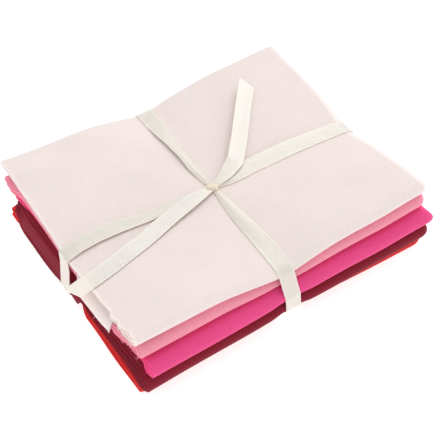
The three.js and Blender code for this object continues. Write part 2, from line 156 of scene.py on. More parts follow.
# The free tails, from the knot outwards. lift: a measure of height over the cloth; roll: degrees that the
# left edge is raised.
TAIL_COLUMNS = ("x", "y", "lift", "roll", "wide")
TAIL_TO_BACK = [
    (-2.0, -2.2, 1.6, 0, 2.6), (1.5, -1.6, 2.4, 4, 3.6), (6.0, -0.1, 3.2, 10, 5.6), (12.9, 3.2, 3.3, 20, 7.2),
    (21.5, 12.9, 2.5, 22, 7.3), (31.5, 24.9, 2.3, 22, 7.3), (42.5, 37.8, 2.7, 22, 7.3),
]
TAIL_TO_LEFT = [
    (-2.6, -2.8, 1.6, 0, 2.6), (-7.0, -3.6, 2.6, 0, 4.4), (-14.0, -4.6, 2.9, 0, 6.4),
    (-27.0, -7.6, 1.9, 0, 7.2), (-42.0, -12.6, 1.0, 0, 7.3), (-58.0, -16.6, 0.8, 0, 7.3),
    (-69.5, -18.6, 1.1, 0, 7.3), (-77.5, -19.4, -0.3, 0, 7.3),
]
RIBBON_HALF = 3.6  # half the ribbon's width
SIDE_WIDE = 7.1  # its width on the stack's sides
BAND_CLEAR = 0.08  # how far a band lies off the cloth
# The ribbon's painted warm shade: a deeper cream where it is drawn narrow, on the bands and on the knot.
WARM_SHADE_FULL, WARM_SHADE_WIDE = 1.15, 4.6  # painted warm shade: the first less the width over the second, from 0 to 1
WARM_SHADE_TAUT, WARM_SHADE_KNOT = 0.25, 0.9  # the least of the painted warm shade on the bands, and what it is on the knot
TAIL_CUT = 3.0  # how much longer a tail's cut end is on one side
TAIL_LIFT = 0.6  # what the lifts are scaled by
TAIL_CREST = 0.12  # how high the middle of a tail stands over its edges

# The loose threads: how many at a cloth's edges, how thick, how deep they are rooted, and where along the
# edge they gather.
THREAD_COUNT = 90
THREAD_RADIUS = 0.1
THREAD_DEPTH = 0.4
THREAD_PLACE, THREAD_SPREAD = -49, 5

# Where the solids' frame lies from the stack's own middle, from two edges that both share.
SHIFT = (
    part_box("cloth_red")[0].x / MM - CLOTHS[0]["left"],
    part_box("cloth_blush")[1].y / MM - CLOTHS[4]["back"][0],
)


def linear(code):
    """A colour written as sRGB hex, turned to linear light."""
    parts = [int(code[i : i + 2], 16) / 255 for i in (1, 3, 5)]
    return tuple(p / 12.92 if p <= 0.04045 else ((p + 0.055) / 1.055) ** 2.4 for p in parts)


def colour(title, words, code):
    return FloatVectorProperty(name=title, description=words, subtype="COLOR", size=3, min=0, max=1,
                               default=linear(code))


def distance(title, words, default):
    return FloatProperty(name=title, description=words, default=default * MM, unit="LENGTH",
                         subtype="DISTANCE", precision=5)


class BundleSizes(PropertyGroup):
    """Sizes of the stack and the ribbon."""

    rim_height: distance("Rim height", "Height of the stack at its corners", 33.2)
    crown: distance("Crown", "How much higher its middle would stand untied", 1.0)
    grip_depth: distance("Grip depth", "How far the ribbon presses the top down", 6.4)
    grip_spread: distance("Grip spread", "How far from the ribbon the cloth takes to rise again", 20.0)
    unevenness: distance("Unevenness", "Depth of the soft creases in the top", 1.2)
    ribbon_thickness: distance("Ribbon thickness", "Thickness of the satin", 0.3)
    thread_spacing: distance("Thread spacing", "From one drawn thread of the cloth to the next", 0.6)
    fray_length: distance("Fray length", "Length of the loose threads at the cut edges", 1.5)


class BundleColours(PropertyGroup):
    """Colours of the cloths, the ribbon and the floor."""

    red: colour("Red", "Lowest cloth", "#d83232")
    wine: colour("Wine", "Second cloth", "#882434")
    fuchsia: colour("Fuchsia", "Third cloth", "#ea4e8a")
    rose: colour("Rose", "Fourth cloth", "#f498ac")
    blush: colour("Blush", "Top cloth", "#f0e3e0")
    ribbon: colour("Ribbon", "Satin ribbon", "#f1ebe3")
    floor: colour("Floor", "Floor and backdrop", "#d9d9d9")


def sizes_mm(context):
    """The size properties, in millimetres."""
    group = context.scene.bundle_sizes
    return {name: getattr(group, name) / MM for name in BundleSizes.__annotations__}


# Shape of the stack


def mix(a, b, share):
    return a + (b - a) * share


def eased(share):
    """0 to 1 with a soft start and end: three times the square less twice the cube."""
    share = np.clip(share, 0, 1)
    return share * share * (3 - 2 * share)


def wander(x, y, seed, length):
    """Slow unevenness between -1 and 1: the mean of five sine waves of about that length, each turned,
    shifted and stretched by seeded amounts."""
    total = 0.0
    for turn, shift, stretch in np.random.default_rng(seed).uniform((0, 0, 0.7), (3.14, 6.28, 1.5), (5, 3)):
        along = x * math.cos(turn) + y * math.sin(turn)
        total = total + np.sin(2 * math.pi * along / (length * stretch) + shift)
    return total / 5


def pressed_by(distance_off, size):
    """How firmly a band presses at a distance from its middle: 1 under it, then falling to 1/e for each
    grip spread, with the corner between the two rounded."""
    outside = np.maximum(np.abs(distance_off) - PRESSED_HALF + PRESSED_EASE, 0)
    beyond = np.hypot(outside, PRESSED_ROUND) - PRESSED_ROUND
    return np.exp(-beyond / size["grip_spread"])


def top_height(x, y, size):
    """Height of the top: rim plus a low crown, less the grooves of the two bands, which join without
    adding up, plus soft creases that fade under the bands: slow unevenness and eleven shallow pleats that
    spread out from the knot."""
    over_x, over_y = x / HALF_LENGTH, y / HALF_WIDTH
    crown = size["crown"] * np.maximum(0, 1 - over_x**2) * np.maximum(0, 1 - over_y**2)
    bite_y = np.where(y < 0, BITE["front"], BITE["back"]) * over_y**4
    bite_x = np.where(x < 0, BITE["left"], BITE["right"]) * over_x**4
    near_y, near_x = pressed_by(x - TIE_X, size), pressed_by(y - TIE_Y, size)
    depth = size["grip_depth"]
    groove_y, groove_x = near_y * (depth + bite_y), near_x * (depth + bite_x)
    free = (1 - near_x) * (1 - near_y)
    way, far = np.arctan2(y - TIE_Y, x - TIE_X), np.hypot(x - TIE_X, y - TIE_Y)
    pleats = np.sin(11 * way + 2 * wander(x, y, 5, 60)) * eased(far / 25) * eased((75 - far) / 45)
    soft = size["unevenness"] * free * (1.1 * wander(x, y, 3, 40) + 0.5 * wander(x, y, 8, 22) + 0.5 * pleats)
    return size["rim_height"] + crown - groove_x - groove_y + groove_x * groove_y / depth + soft


def underside(x, y):
    """Height of the underside: nought but for two shallow channels with sloping sides."""
    along_y = np.clip(1 - (np.abs(x - TIE_X) - CHANNEL_HALF_X) / CHANNEL_SIDE, 0, 1)
    along_x = np.clip(1 - (np.abs(y - CHANNEL_Y) - CHANNEL_HALF_Y) / CHANNEL_SIDE, 0, 1)
    return CHANNEL_LIFT * np.maximum(along_x, along_y)


def room_of(index, x, y, size):
    """Underside and height of one cloth: the stack's height at the point, less the gaps, shared out by the
    cloths' full heights, each scaled towards its gripped share where the bands press."""
    pressed = 1 - (1 - pressed_by(x - TIE_X, size)) * (1 - pressed_by(y - TIE_Y, size))
    shares = [c["full"] * mix(1, c["gripped"], pressed) for c in CLOTHS]
    bottom = underside(x, y)
    unit = (top_height(x, y, size) - bottom - CLOTH_GAP * (len(CLOTHS) - 1)) / sum(shares)
    return bottom + sum(shares[:index]) * unit + CLOTH_GAP * index, shares[index] * unit


# A folded cloth as a grid


def spaced(count, start, end, dense):
    """Places from start to end, closer near those in dense: equal steps of the running sum of a density of
    1 plus 3 times e to the minus distance over 8."""
    fine = np.linspace(start, end, 400)
    density = 1 + sum(3 * np.exp(-np.abs(fine - spot) / 8) for spot in dense)
    total = np.cumsum(density) - density[0]
    return np.interp(np.linspace(0, 1, count), total / total[-1], fine)


def joined(parts):
    """Rows or columns given as dicts of arrays or single numbers, end to end."""
    counts = [max(np.size(v) for v in part.values()) for part in parts]
    return {key: np.concatenate([np.broadcast_to(part[key], n) for part, n in zip(parts, counts)])
            for key in parts[0]}


def layer_rows(layer, front_set, back_set, cloth):
    """A layer's straight run, between its set-in ends. The cloth passes through the layers in the order
    0, 3, 2, 1: to the front in the even ones, and to the back in the odd ones."""
    to_front = layer in (0, 2)
    front, back = cloth["front"][0], cloth["back"][0]
    across = spaced(LAYER_STEPS[layer], front, back, (front, FLAP_Y, TIE_Y, back))
    share = (across - across[0]) / (across[-1] - across[0])
    return dict(back=share[::-1] if to_front else share, front_set=front_set, back_set=back_set,
                front_out=0.0, back_out=0.0, share=layer * (LAYER + SLIT) + LAYER / 2,
                side=-1.0 if to_front else 1.0, layer=float(layer))


def fold_rows(edge, middle, rise, reach, centre, outside, layers, count, turn):
    """A fold: half an ellipse round its centre. A point that lies an amount further out of the sheet, towards
    the outside of the fold, lies that much further from the centre."""
    angle = turn * np.linspace(-90, 90, count + 2)[1:-1] * math.pi / 180
    at_back = edge == "back"
    inset, out = centre - reach * np.cos(angle), -outside * np.cos(angle)
    return dict(back=float(at_back), front_set=0.0 if at_back else inset, back_set=inset if at_back else 0.0,
                front_out=0.0 if at_back else out, back_out=out if at_back else 0.0,
                share=middle + rise * np.sin(angle), side=outside * np.sin(angle),
                layer=np.linspace(layers[0], layers[1], count + 2)[1:-1])


def cloth_rows(cloth):
    """The way from one cut end to the other, seen from the side: along the bottom to the front, up round
    the big front fold, along the top, down round the back fold, to the front again and back."""
    full = cloth["full"]
    out = PLY_REACH * full
    half = (LAYER + SLIT) / 2
    big = BIG_FOLD * full + out
    small = (LAYER + SLIT + SMALL_FOLD) * full + out
    rear = SMALL_FOLD * full + out
    lower, upper = cloth["open"]
    return joined([
        layer_rows(0, big, lower, cloth),
        fold_rows("front", 0.5, 3 * half, BIG_FOLD * full, big, 1, (0, 3), 15, 1),
        layer_rows(3, big, rear, cloth),
        fold_rows("back", 2.5 * (LAYER + SLIT) + LAYER / 2, half, SMALL_FOLD * full, rear, 1, (3, 2), 9, -1),
        layer_rows(2, small, rear, cloth),
        fold_rows("front", 0.5, half, SMALL_FOLD * full, small, -1, (2, 1), 7, -1),
        layer_rows(1, small, upper, cloth),
    ])


def ply_columns(ply, height, outside, cloth):
    """A ply's straight run, with its two faces at a height in the layer, of which outside tells the upper."""
    left, right = cloth["left"], cloth["right"]
    across = spaced(PLY_STEPS[ply], left, right, (left, TIE_X, right))
    share = (across - across[0]) / (across[-1] - across[0])
    half = outside * PLY_THICK / 2
    return dict(right=share if ply in (0, 2) else share[::-1], beyond_over=0.0, beyond_under=0.0,
                over=height + half, under=height - half, ply=float(ply))


def turn_columns(ply, centre, radius, reach, way, sign, cloth, count=8):
    """A turn from one ply to the next: half an ellipse, to the right if way is 1. sign is 1 where the upper
    face is the turn's outer one, and -1 where it is the inner one."""
    angle = np.linspace(90, -90, count + 2)[1:-1] * math.pi / 180
    thick = PLY_THICK / 2 * sign
    thick_mm = thick * cloth["full"]
    climb = np.sin(angle) * way * sign
    return dict(right=float(way > 0), beyond_over=way * (reach + thick_mm) * np.cos(angle),
                beyond_under=way * (reach - thick_mm) * np.cos(angle),
                over=centre + climb * (radius + thick), under=centre + climb * (radius - thick),
                ply=np.linspace(ply, ply + 1, count + 2)[1:-1])


def cloth_columns(cloth):
    """The way from one cut edge to the other, seen from the front, in a layer: to the right, round an outer
    turn, to the left, round a turn, to the right, round a turn inside the outer one, and to the left."""
    step = PLY_STEP
    return joined([
        ply_columns(0, 1.5 * step, 1, cloth),
        turn_columns(0, 0.0, 1.5 * step, OUTER_TURN, 1, 1, cloth),
        ply_columns(1, -1.5 * step, -1, cloth),
        turn_columns(1, -step, step / 2, INNER_TURN, -1, 1, cloth, 6),
        ply_columns(2, -step / 2, 1, cloth),
        turn_columns(2, 0.0, step / 2, INNER_TURN, 1, -1, cloth, 6),
        ply_columns(3, step / 2, -1, cloth),
    ])


def looked_up(values, place):
    """A value for each layer or ply, and between two of them the amount between theirs."""
    return np.interp(place, np.arange(len(values)), values)


def cloth_points(index, rows, columns, face, size):
    """One face's points. Along x a point lies between the ends of its layer and ply, plus its turn; along
    y between the edges, each set in by its fold; its height is the cloth's underside plus its share. A
    slipped layer lies further out, and past its hinge drops with the power 1.4 of the distance."""
    cloth = CLOTHS[index]
    row = {key: value[:, None] for key, value in rows.items()}
    column = {key: value[None, :] for key, value in columns.items()}
    height = column[face]
    out = height * cloth["full"]
    seed = 10 * index
    rough_y = mix(cloth["front"][0], cloth["back"][0], row["back"])
    ends = WAVER * wander(rough_y, 40 * column["ply"] + 90 * row["layer"], seed + 1, 30)
    behind = eased((rough_y - cloth["front"][0]) / STEPS_REACH + STEPS_START)
    left = cloth["left"] + looked_up(cloth["steps"], row["layer"]) * behind + END_ROOM["left"] + ends
    right = cloth["right"] - looked_up(cloth["rounding"], row["layer"]) - END_ROOM["right"] + ends
    right = right - cloth["pull"] * pressed_by(rough_y - TIE_Y, size)
    along, beyond = column["right"], column["beyond_" + face]
    if cloth["cut_end"] == "right":
        along, beyond = 1 - along, -beyond
        left, right = left + CUT_RIGHT_SHIFT, right + CUT_RIGHT_SHIFT
    left = left - np.interp(rough_y, *zip(*cloth["spill"])) + cloth["fan"] * looked_up(PLY_FAN, column["ply"])
    slipped = next((each for each in SLIPPED if each["cloth"] == cloth["name"]), None)
    hang = np.zeros_like(rough_y)
    if slipped:
        reach = np.minimum((rough_y - slipped["start"]) / slipped["slopes"][0],
                           (slipped["end"] - rough_y) / slipped["slopes"][1])
        hang = eased(reach) * looked_up(slipped["follow"], row["layer"]) * (row["back"] > 0.02)
        left = left - slipped["out"] * hang
    x = mix(left, right, along) + beyond
    length = (x - cloth["left"]) / (cloth["right"] - cloth["left"])
    corner = np.clip((x - cloth["right"] + CORNER) / CORNER, 0, 1) ** 2
    tuck = cloth["tuck"] * pressed_by(x - TIE_X, size)
    front = mix(*cloth["front"], length) + tuck + CORNER_SET["front"] * corner
    front = front + WAVER * wander(x, 0, seed + 2, WAVER_LENGTH)
    back = mix(*cloth["back"], length) - CORNER_SET["back"] * corner
    back = back + WAVER * wander(x, 0, seed + 3, WAVER_LENGTH)
    y = mix(front + row["front_set"] + row["front_out"] * out, back - row["back_set"] - row["back_out"] * out,
            row["back"])
    loose = np.exp(-np.maximum(x - cloth["left"], 0) / SAG_REACH)
    share = row["share"] + row["side"] * height + loose * looked_up(cloth["sag"], row["layer"])
    base, tall = room_of(index, x, y, size)
    z = base + share * tall
    if slipped:
        beyond_hinge = np.clip((slipped["hinge"] - x) / slipped["reach"], 0, 1.2)
        z = z - slipped["drop"] * hang * beyond_hinge**1.4
        y = y - slipped["skew"] * hang * beyond_hinge
    return np.stack(np.broadcast_arrays(x, y, z), axis=-1)


# Meshes


def grid_faces(rows, columns, start, flip):
    """The quads of a grid of points numbered row by row, wound the other way round if flip is true."""
    at = start + np.arange(rows * columns).reshape(rows, columns)
    quads = np.stack([at[:-1, :-1], at[:-1, 1:], at[1:, 1:], at[1:, :-1]], axis=-1).reshape(-1, 4)
    return quads[:, ::-1] if flip else quads


def shell_faces(rows, columns):
    """The quads of two grids of points, one over the other, and of the wall between their borders."""
    count = rows * columns
    at = np.arange(count).reshape(rows, columns)
    rim = np.concatenate([at[0, :-1], at[:-1, -1], at[-1, :0:-1], at[:0:-1, 0]])
    after = np.roll(rim, -1)
    wall = np.stack([after, rim, rim + count, after + count], axis=-1)
    return np.concatenate([grid_faces(rows, columns, 0, False), grid_faces(rows, columns, count, True), wall])


def make_mesh(name, points, faces, material, uv=None, sharp=50, marks=None):
    """A mesh object of points in mm, which lies in the solids' frame. marks holds named shares from 0 to 1
    for the points, which its material reads."""
    mesh = bpy.data.meshes.new(name)
    placed = (points.reshape(-1, 3) + (*SHIFT, 0)) * MM
    mesh.from_pydata(placed.tolist(), [], faces)
    if uv is not None:
        corners = np.zeros(len(mesh.loops), np.int32)
        mesh.loops.foreach_get("vertex_index", corners)
        mesh.uv_layers.new(name="cloth").data.foreach_set("uv", uv.reshape(-1, 2)[corners].ravel())
    for title, shares in (marks or {}).items():
        mesh.attributes.new(title, "FLOAT", "POINT").data.foreach_set("value", shares.ravel())
    mesh.shade_smooth()
    mesh.set_sharp_from_angle(angle=math.radians(sharp))
    mesh.materials.append(material)
    piece = bpy.data.objects.new(name, mesh)
    bpy.context.scene.collection.objects.link(piece)
    return piece


def lengths_along(points):
    """Distance along a line of points from its first one, in mm."""
    steps = np.linalg.norm(np.diff(points, axis=0), axis=1)
    return np.concatenate([[0], np.cumsum(steps)])


def cloth_shell(index, size):
    """The two faces of a cloth, each point's place on the flat cloth in metres, and how much painted
    highlight
    it takes there: 1 at its ends, falling to 1/e over the highlight reach."""
    rows, columns = cloth_rows(CLOTHS[index]), cloth_columns(CLOTHS[index])
    over, under = (cloth_points(index, rows, columns, face, size) for face in ("over", "under"))
    down = lengths_along(over[:, over.shape[1] // 6])
    along = lengths_along(over[over.shape[0] // 2])
    uv = np.stack(np.meshgrid(along, down), axis=-1) * MM
    # Painted highlight, strongest at the fold ends and cut edges, as if they caught the light.
    ends = along[np.isin(columns["right"], (0, 1))]
    worn = np.exp(-np.abs(along[:, None] - ends).min(axis=1) / HIGHLIGHT_REACH)
    return over, under, np.stack([uv, uv]), np.broadcast_to(worn, (2, *over.shape[:2]))


# Materials

DEEP = 0.96  # the deepest threads' share of the cloth's colour; the palest have as much more
HIGHLIGHT_PALE = 1.15  # the same for the painted highlight on the fold ends and cut edges
RIB_SPACING = 0.0005  # of the satin, in metres


def add_node(tree, kind, settings=None, links=None, **inputs):
    """Adds a node: settings are its own properties, links its linked inputs, and inputs their values."""
    node = tree.nodes.new(kind)
    for key, value in (settings or {}).items():
        setattr(node, key, value)
    for key, value in inputs.items():
        node.inputs[int(key[1:]) if key[1:].isdigit() else key.replace("_", " ")].default_value = value
    for key, socket in (links or {}).items():
        tree.links.new(socket, node.inputs[key])
    return node


def blank_material(name, colour_shown):
    material = bpy.data.materials.new(name)
    material.use_nodes = True
    material.diffuse_color = (*colour_shown, 1)
    tree = material.node_tree
    return material, tree, tree.nodes["Principled BSDF"]


def thread_waves(tree, coordinates, spacing):
    """The weave's height: the sine of the place along each thread direction, the two multiplied."""
    parts = add_node(tree, "ShaderNodeSeparateXYZ", links={"Vector": coordinates})
    waves = []
    for axis in ("X", "Y"):
        turns = add_node(tree, "ShaderNodeMath", {"operation": "MULTIPLY"}, {0: parts.outputs[axis]},
                         _1=math.pi / spacing)
        waves.append(add_node(tree, "ShaderNodeMath", {"operation": "SINE"}, {0: turns.outputs[0]}))
    return add_node(tree, "ShaderNodeMath", {"operation": "MULTIPLY"}, {0: waves[0].outputs[0],
                                                                        1: waves[1].outputs[0]})


def cotton(name, shade, spacing):
    """Plain woven quilting cotton, dyed in the piece: matt, with a faint thread grain, slightly uneven
    threads, a soft bloom at grazing angles and a painted highlight that makes the folds and cut edges at its
    ends slightly paler. Real threads lie about 0.4 mm apart, which is finer than the render shows, so they
    are drawn 0.6 mm apart."""
    material, tree, shader = blank_material(name, shade)
    place = add_node(tree, "ShaderNodeTexCoord")
    uv = place.outputs["UV"]
    weave = thread_waves(tree, uv, spacing)
    slubs = []
    for stretch in ((260, 2400, 1), (2400, 260, 1)):
        stretched = add_node(tree, "ShaderNodeMapping", links={"Vector": uv}, Scale=stretch)
        slubs.append(add_node(tree, "ShaderNodeTexNoise", {"noise_dimensions": "2D"},
                              {"Vector": stretched.outputs[0]}, Scale=1.0, Detail=2.0))
    slub = add_node(tree, "ShaderNodeMath", {"operation": "ADD"},
                    {0: slubs[0].outputs[0], 1: slubs[1].outputs[0]})
    cloud = add_node(tree, "ShaderNodeTexNoise", {}, {"Vector": place.outputs["Object"]},
                     Scale=38.0, Detail=3.0)
    grain = add_node(tree, "ShaderNodeMath", {"operation": "MULTIPLY_ADD"}, {0: weave.outputs[0],
                                                                             2: slub.outputs[0]}, _1=0.12)
    tone = add_node(tree, "ShaderNodeMath", {"operation": "ADD"}, {0: grain.outputs[0], 1: cloud.outputs[0]})
    level = add_node(tree, "ShaderNodeMapRange", links={"Value": tone.outputs[0]}, From_Min=1.0, From_Max=2.0)
    shades = add_node(tree, "ShaderNodeMix", {"data_type": "RGBA"}, {0: level.outputs[0]},
                      _6=(*(c * DEEP for c in shade), 1), _7=(*(min(1, c * (2 - DEEP)) for c in shade), 1))
    # Painted highlight: the fold ends and cut edges are drawn paler, as lit ridges.
    worn = add_node(tree, "ShaderNodeAttribute", {"attribute_name": "worn"})
    highlighted = add_node(tree, "ShaderNodeMix", {"data_type": "RGBA"},
                     {0: worn.outputs["Fac"], 6: shades.outputs[2]},
                     _7=(*(min(1, c * HIGHLIGHT_PALE) for c in shade), 1))
    bump = add_node(tree, "ShaderNodeBump", links={"Height": grain.outputs[0]}, Strength=0.3, Distance=0.0001)
    tree.links.new(highlighted.outputs[2], shader.inputs["Base Color"])
    tree.links.new(bump.outputs[0], shader.inputs["Normal"])
    shader.inputs["Roughness"].default_value = 0.88
    shader.inputs["IOR"].default_value = 1.5
    shader.inputs["Specular IOR Level"].default_value = 0.12
    shader.inputs["Sheen Weight"].default_value = 0.1
    shader.inputs["Sheen Roughness"].default_value = 0.5
    return material


def satin(name, shade):
    """Woven polyester satin ribbon: smooth, with a broad soft gloss, fine ribs across it and a firmer
    woven edge; where it is drawn narrow or tight, it is painted a deeper cream as warm shade. Its ribs are
    really 0.15 mm apart, and are drawn at 0.5 mm to show."""
    material, tree, shader = blank_material(name, shade)
    place = add_node(tree, "ShaderNodeTexCoord")
    parts = add_node(tree, "ShaderNodeSeparateXYZ", links={"Vector": place.outputs["UV"]})
    turns = add_node(tree, "ShaderNodeMath", {"operation": "MULTIPLY"}, {0: parts.outputs["Y"]},
                     _1=2 * math.pi / RIB_SPACING)
    ribs = add_node(tree, "ShaderNodeMath", {"operation": "SINE"}, {0: turns.outputs[0]})
    streaks = add_node(tree, "ShaderNodeMapping", links={"Vector": place.outputs["UV"]}, Scale=(3000, 60, 1))
    streak = add_node(tree, "ShaderNodeTexNoise", {"noise_dimensions": "2D"}, {"Vector": streaks.outputs[0]},
                      Scale=1.0, Detail=2.0)
    # Painted warm shade: the cream deepens where the ribbon is drawn narrow, on the bands and on the knot.
    gathered = add_node(tree, "ShaderNodeAttribute", {"attribute_name": "gathered"})
    deeper = add_node(tree, "ShaderNodeMath", {"operation": "MULTIPLY_ADD"},
                      {0: gathered.outputs["Fac"], 2: streak.outputs[0]}, _1=1.0)
    level = add_node(tree, "ShaderNodeMapRange", links={"Value": deeper.outputs[0]},
                     From_Min=0.3, From_Max=2.0)
    shades = add_node(tree, "ShaderNodeMix", {"data_type": "RGBA"}, {0: level.outputs[0]},
                      _6=(*shade, 1), _7=(*(c * d for c, d in zip(shade, (0.98, 0.86, 0.66))), 1))
    bump = add_node(tree, "ShaderNodeBump", links={"Height": ribs.outputs[0]}, Strength=0.2, Distance=0.00003)
    tree.links.new(shades.outputs[2], shader.inputs["Base Color"])
    tree.links.new(bump.outputs[0], shader.inputs["Normal"])
    shader.inputs["Roughness"].default_value = 0.36
    shader.inputs["IOR"].default_value = 1.54
    shader.inputs["Specular IOR Level"].default_value = 0.7
    shader.inputs["Sheen Weight"].default_value = 0.1
    shader.inputs["Subsurface Weight"].default_value = 0.6
    shader.inputs["Subsurface Radius"].default_value = (1.0, 0.97, 0.9)
    shader.inputs["Subsurface Scale"].default_value = 0.001
    return material


# Ribbon


def taut_loop(points, clearance):
    """The line that a taut ribbon takes round points in a plane: for each of 1440 directions the point that
    lies furthest that way, moved out by the clearance, which rounds the corners. It is then spaced evenly."""
    turn = np.linspace(0, 2 * math.pi, 1440, endpoint=False)
    ways = np.stack([np.cos(turn), np.sin(turn)], axis=1)
    loop = points[np.argmax(points @ ways.T, axis=0)] + clearance * ways
    loop = np.concatenate([loop, loop[:1]])
    along = lengths_along(loop)
    places = np.linspace(0, along[-1], 420, endpoint=False)
    return np.stack([np.interp(places, along, loop[:, k]) for k in (0, 1)], axis=1)


def unit(vectors):
    return vectors / np.linalg.norm(vectors, axis=-1, keepdims=True)


def ribbon_strip(name, centre, across, wide, tilt, ridge, material, size, held, skew=0.0):
    """A ribbon along a centre line. A point at a share q from -1 to 1 across lies q half-widths to the side,
    along the tilted across direction, and is raised by the ridge times one less q squared. Its ends are cut
    square, or the last one is slanted by skew. Each face lies half the thickness off, and more at the woven
    edges."""
    q = np.array([-1, -0.95, -0.9, -0.75, -0.5, -0.25, 0, 0.25, 0.5, 0.75, 0.9, 0.95, 1])
    way = unit(np.gradient(centre, axis=0))
    across = unit(across - (across * way).sum(-1, keepdims=True) * way)
    up = np.cross(way, across)
    turn = np.radians(tilt)[:, None]
    side, raised = across * np.cos(turn) + up * np.sin(turn), up * np.cos(turn) - across * np.sin(turn)
    half = wide[:, None, None] / 2
    reach = q[None, :, None]
    crest = ridge[:, None, None] * (1 - reach**2)
    middle = centre[:, None] + side[:, None] * half * reach + raised[:, None] * crest
    end = np.zeros(len(centre))
    end[-12:] = np.linspace(0, 1, 12) ** 2
    middle = middle + way[:, None] * (skew / 2 * end)[:, None, None] * reach
    normal = unit(raised[:, None] + side[:, None] * 2 * ridge[:, None, None] * reach / half)
    thick = size["ribbon_thickness"] / 2 * (1 + 0.5 * (np.abs(q) > 0.88))[None, :, None]
    faces = shell_faces(len(centre), len(q))[:, ::-1].tolist()
    points = np.stack([middle + normal * thick, middle - normal * thick])
    lengthways = lengths_along(centre)
    uv = np.stack(np.meshgrid(q * RIBBON_HALF, lengthways), axis=-1) * MM
    # Painted warm shade: a deeper cream where the ribbon is drawn narrow, and at least some on every band.
    least = WARM_SHADE_TAUT if held == "stretched" else 0
    gathered = np.clip(WARM_SHADE_FULL - wide / WARM_SHADE_WIDE, least, 1)[:, None] * np.ones(len(q))
    piece = make_mesh(name, points, faces, material, np.stack([uv, uv]), 60,
                      {"gathered": np.stack([gathered, gathered])})
    # flat takes no width under 10 mm, so the ribbon's true width of 7.2 mm is told by its area alone.
    return piece


def table_at(rows, columns, places, first):
    """The named columns of a table, read off at places along its first column."""
    table = dict(zip(columns, np.array(rows, float).T))
    return {key: np.interp(places, table[first], table[key]) for key in columns}


def band_place(along, places, heights, arms, size):
    """Where a band lies across its way: on the top as its arms tell, and further down sliding to the middles
    of its sides. Gives its place across, the arms' values and how far up the top it is, from 0 to 1."""
    flat = np.full(len(places), TIE_X if along == "front to back" else TIE_Y)
    x, y = (flat, places) if along == "front to back" else (places, flat)
    level = heights / top_height(x, y, size)
    arm = table_at(arms, ARM_COLUMNS, places, "at")
    share = np.clip((places - arms[0][0]) / (arms[-1][0] - arms[0][0]), 0, 1)
    low = mix(*SIDE_MIDDLES[along], share)
    ends = np.where(share > 0.5, arms[-1][1], arms[0][1])
    rise = eased((level - 0.66) / 0.22)
    return mix(mix(low, ends, np.clip(level / 0.8, 0, 1)), arm["middle"], rise), arm, rise


def band(name, vertices, along, arms, material, size):
    """One band of the tie: it starts at the knot, runs round the stack and ends at the knot. It is drawn
    taut round the cloths' points that lie under it."""
    a, c = (1, 0) if along == "front to back" else (0, 1)
    middle = band_place(along, vertices[:, a], vertices[:, 2], arms, size)[0]
    under = np.abs(vertices[:, c] - middle) < RIBBON_HALF
    loop = taut_loop(vertices[under][:, (a, 2)], BAND_CLEAR + size["ribbon_thickness"] / 2)
    start = np.argmin(np.abs(loop[:, 0] - (KNOT["x"], KNOT["y"])[a]) + 10 * (loop[:, 1] < 15))
    loop = np.roll(loop, -start, axis=0)
    loop = np.concatenate([loop, loop[:1]])
    place, arm, rise = band_place(along, loop[:, 0], loop[:, 1], arms, size)
    wide, tilt = mix(SIDE_WIDE, arm["wide"], rise), arm["tilt"] * rise
    centre, across = np.zeros((2, len(loop), 3))
    centre[:, a], centre[:, c] = loop[:, 0], place
    centre[:, 2] = loop[:, 1] + wide / 2 * np.abs(np.sin(np.radians(tilt)))
    across[:, c] = 1 if c == 0 else -1
    return ribbon_strip(name, centre, across, wide, tilt * across[0, c], arm["ridge"] * rise, material, size,
                        "stretched")


def smooth_line(rows, columns, count):
    """The columns of a table spread evenly over its rows and smoothed: each value is read off along the
    line's length, and then averaged over a tenth of it."""
    table = np.array(rows, float)
    along = lengths_along(table[:, :2])
    places = np.linspace(0, along[-1], count)
    kernel = np.hanning(count // 8)
    kernel = kernel / kernel.sum()
    pad = len(kernel) // 2
    columns_read = {}
    for k, key in enumerate(columns):
        values = np.interp(places, along, table[:, k])
        first, last = 2 * values[0] - values[pad:0:-1], 2 * values[-1] - values[-2 : -pad - 2 : -1]
        columns_read[key] = np.convolve(np.concatenate([first, values, last]), kernel, "same")[pad:-pad]
    return columns_read


def tail(name, rows, skew, material, size):
    """A free tail: a strip over the cloth, from the knot to a slanted cut."""
    line = smooth_line(rows, TAIL_COLUMNS, 90)
    x, y = line["x"], line["y"]
    way = unit(np.stack([np.gradient(x), np.gradient(y)], axis=1))
    across = np.stack([-way[:, 1], way[:, 0], np.zeros(len(x))], axis=1)
    half = line["wide"] / 2
    held = [top_height(np.maximum(x + across[:, 0] * half * edge, -HALF_LENGTH),
                       y + across[:, 1] * half * edge, size) for edge in (-1, 0, 1)]
    raised = half * np.sin(np.radians(line["roll"]))
    centre = np.stack([x, y, np.max(held, axis=0) + line["lift"] * TAIL_LIFT + raised], axis=1)
    crest = np.full(len(x), TAIL_CREST)
    return ribbon_strip(name, centre, across, line["wide"], line["roll"], crest, material, size, "laid", skew)


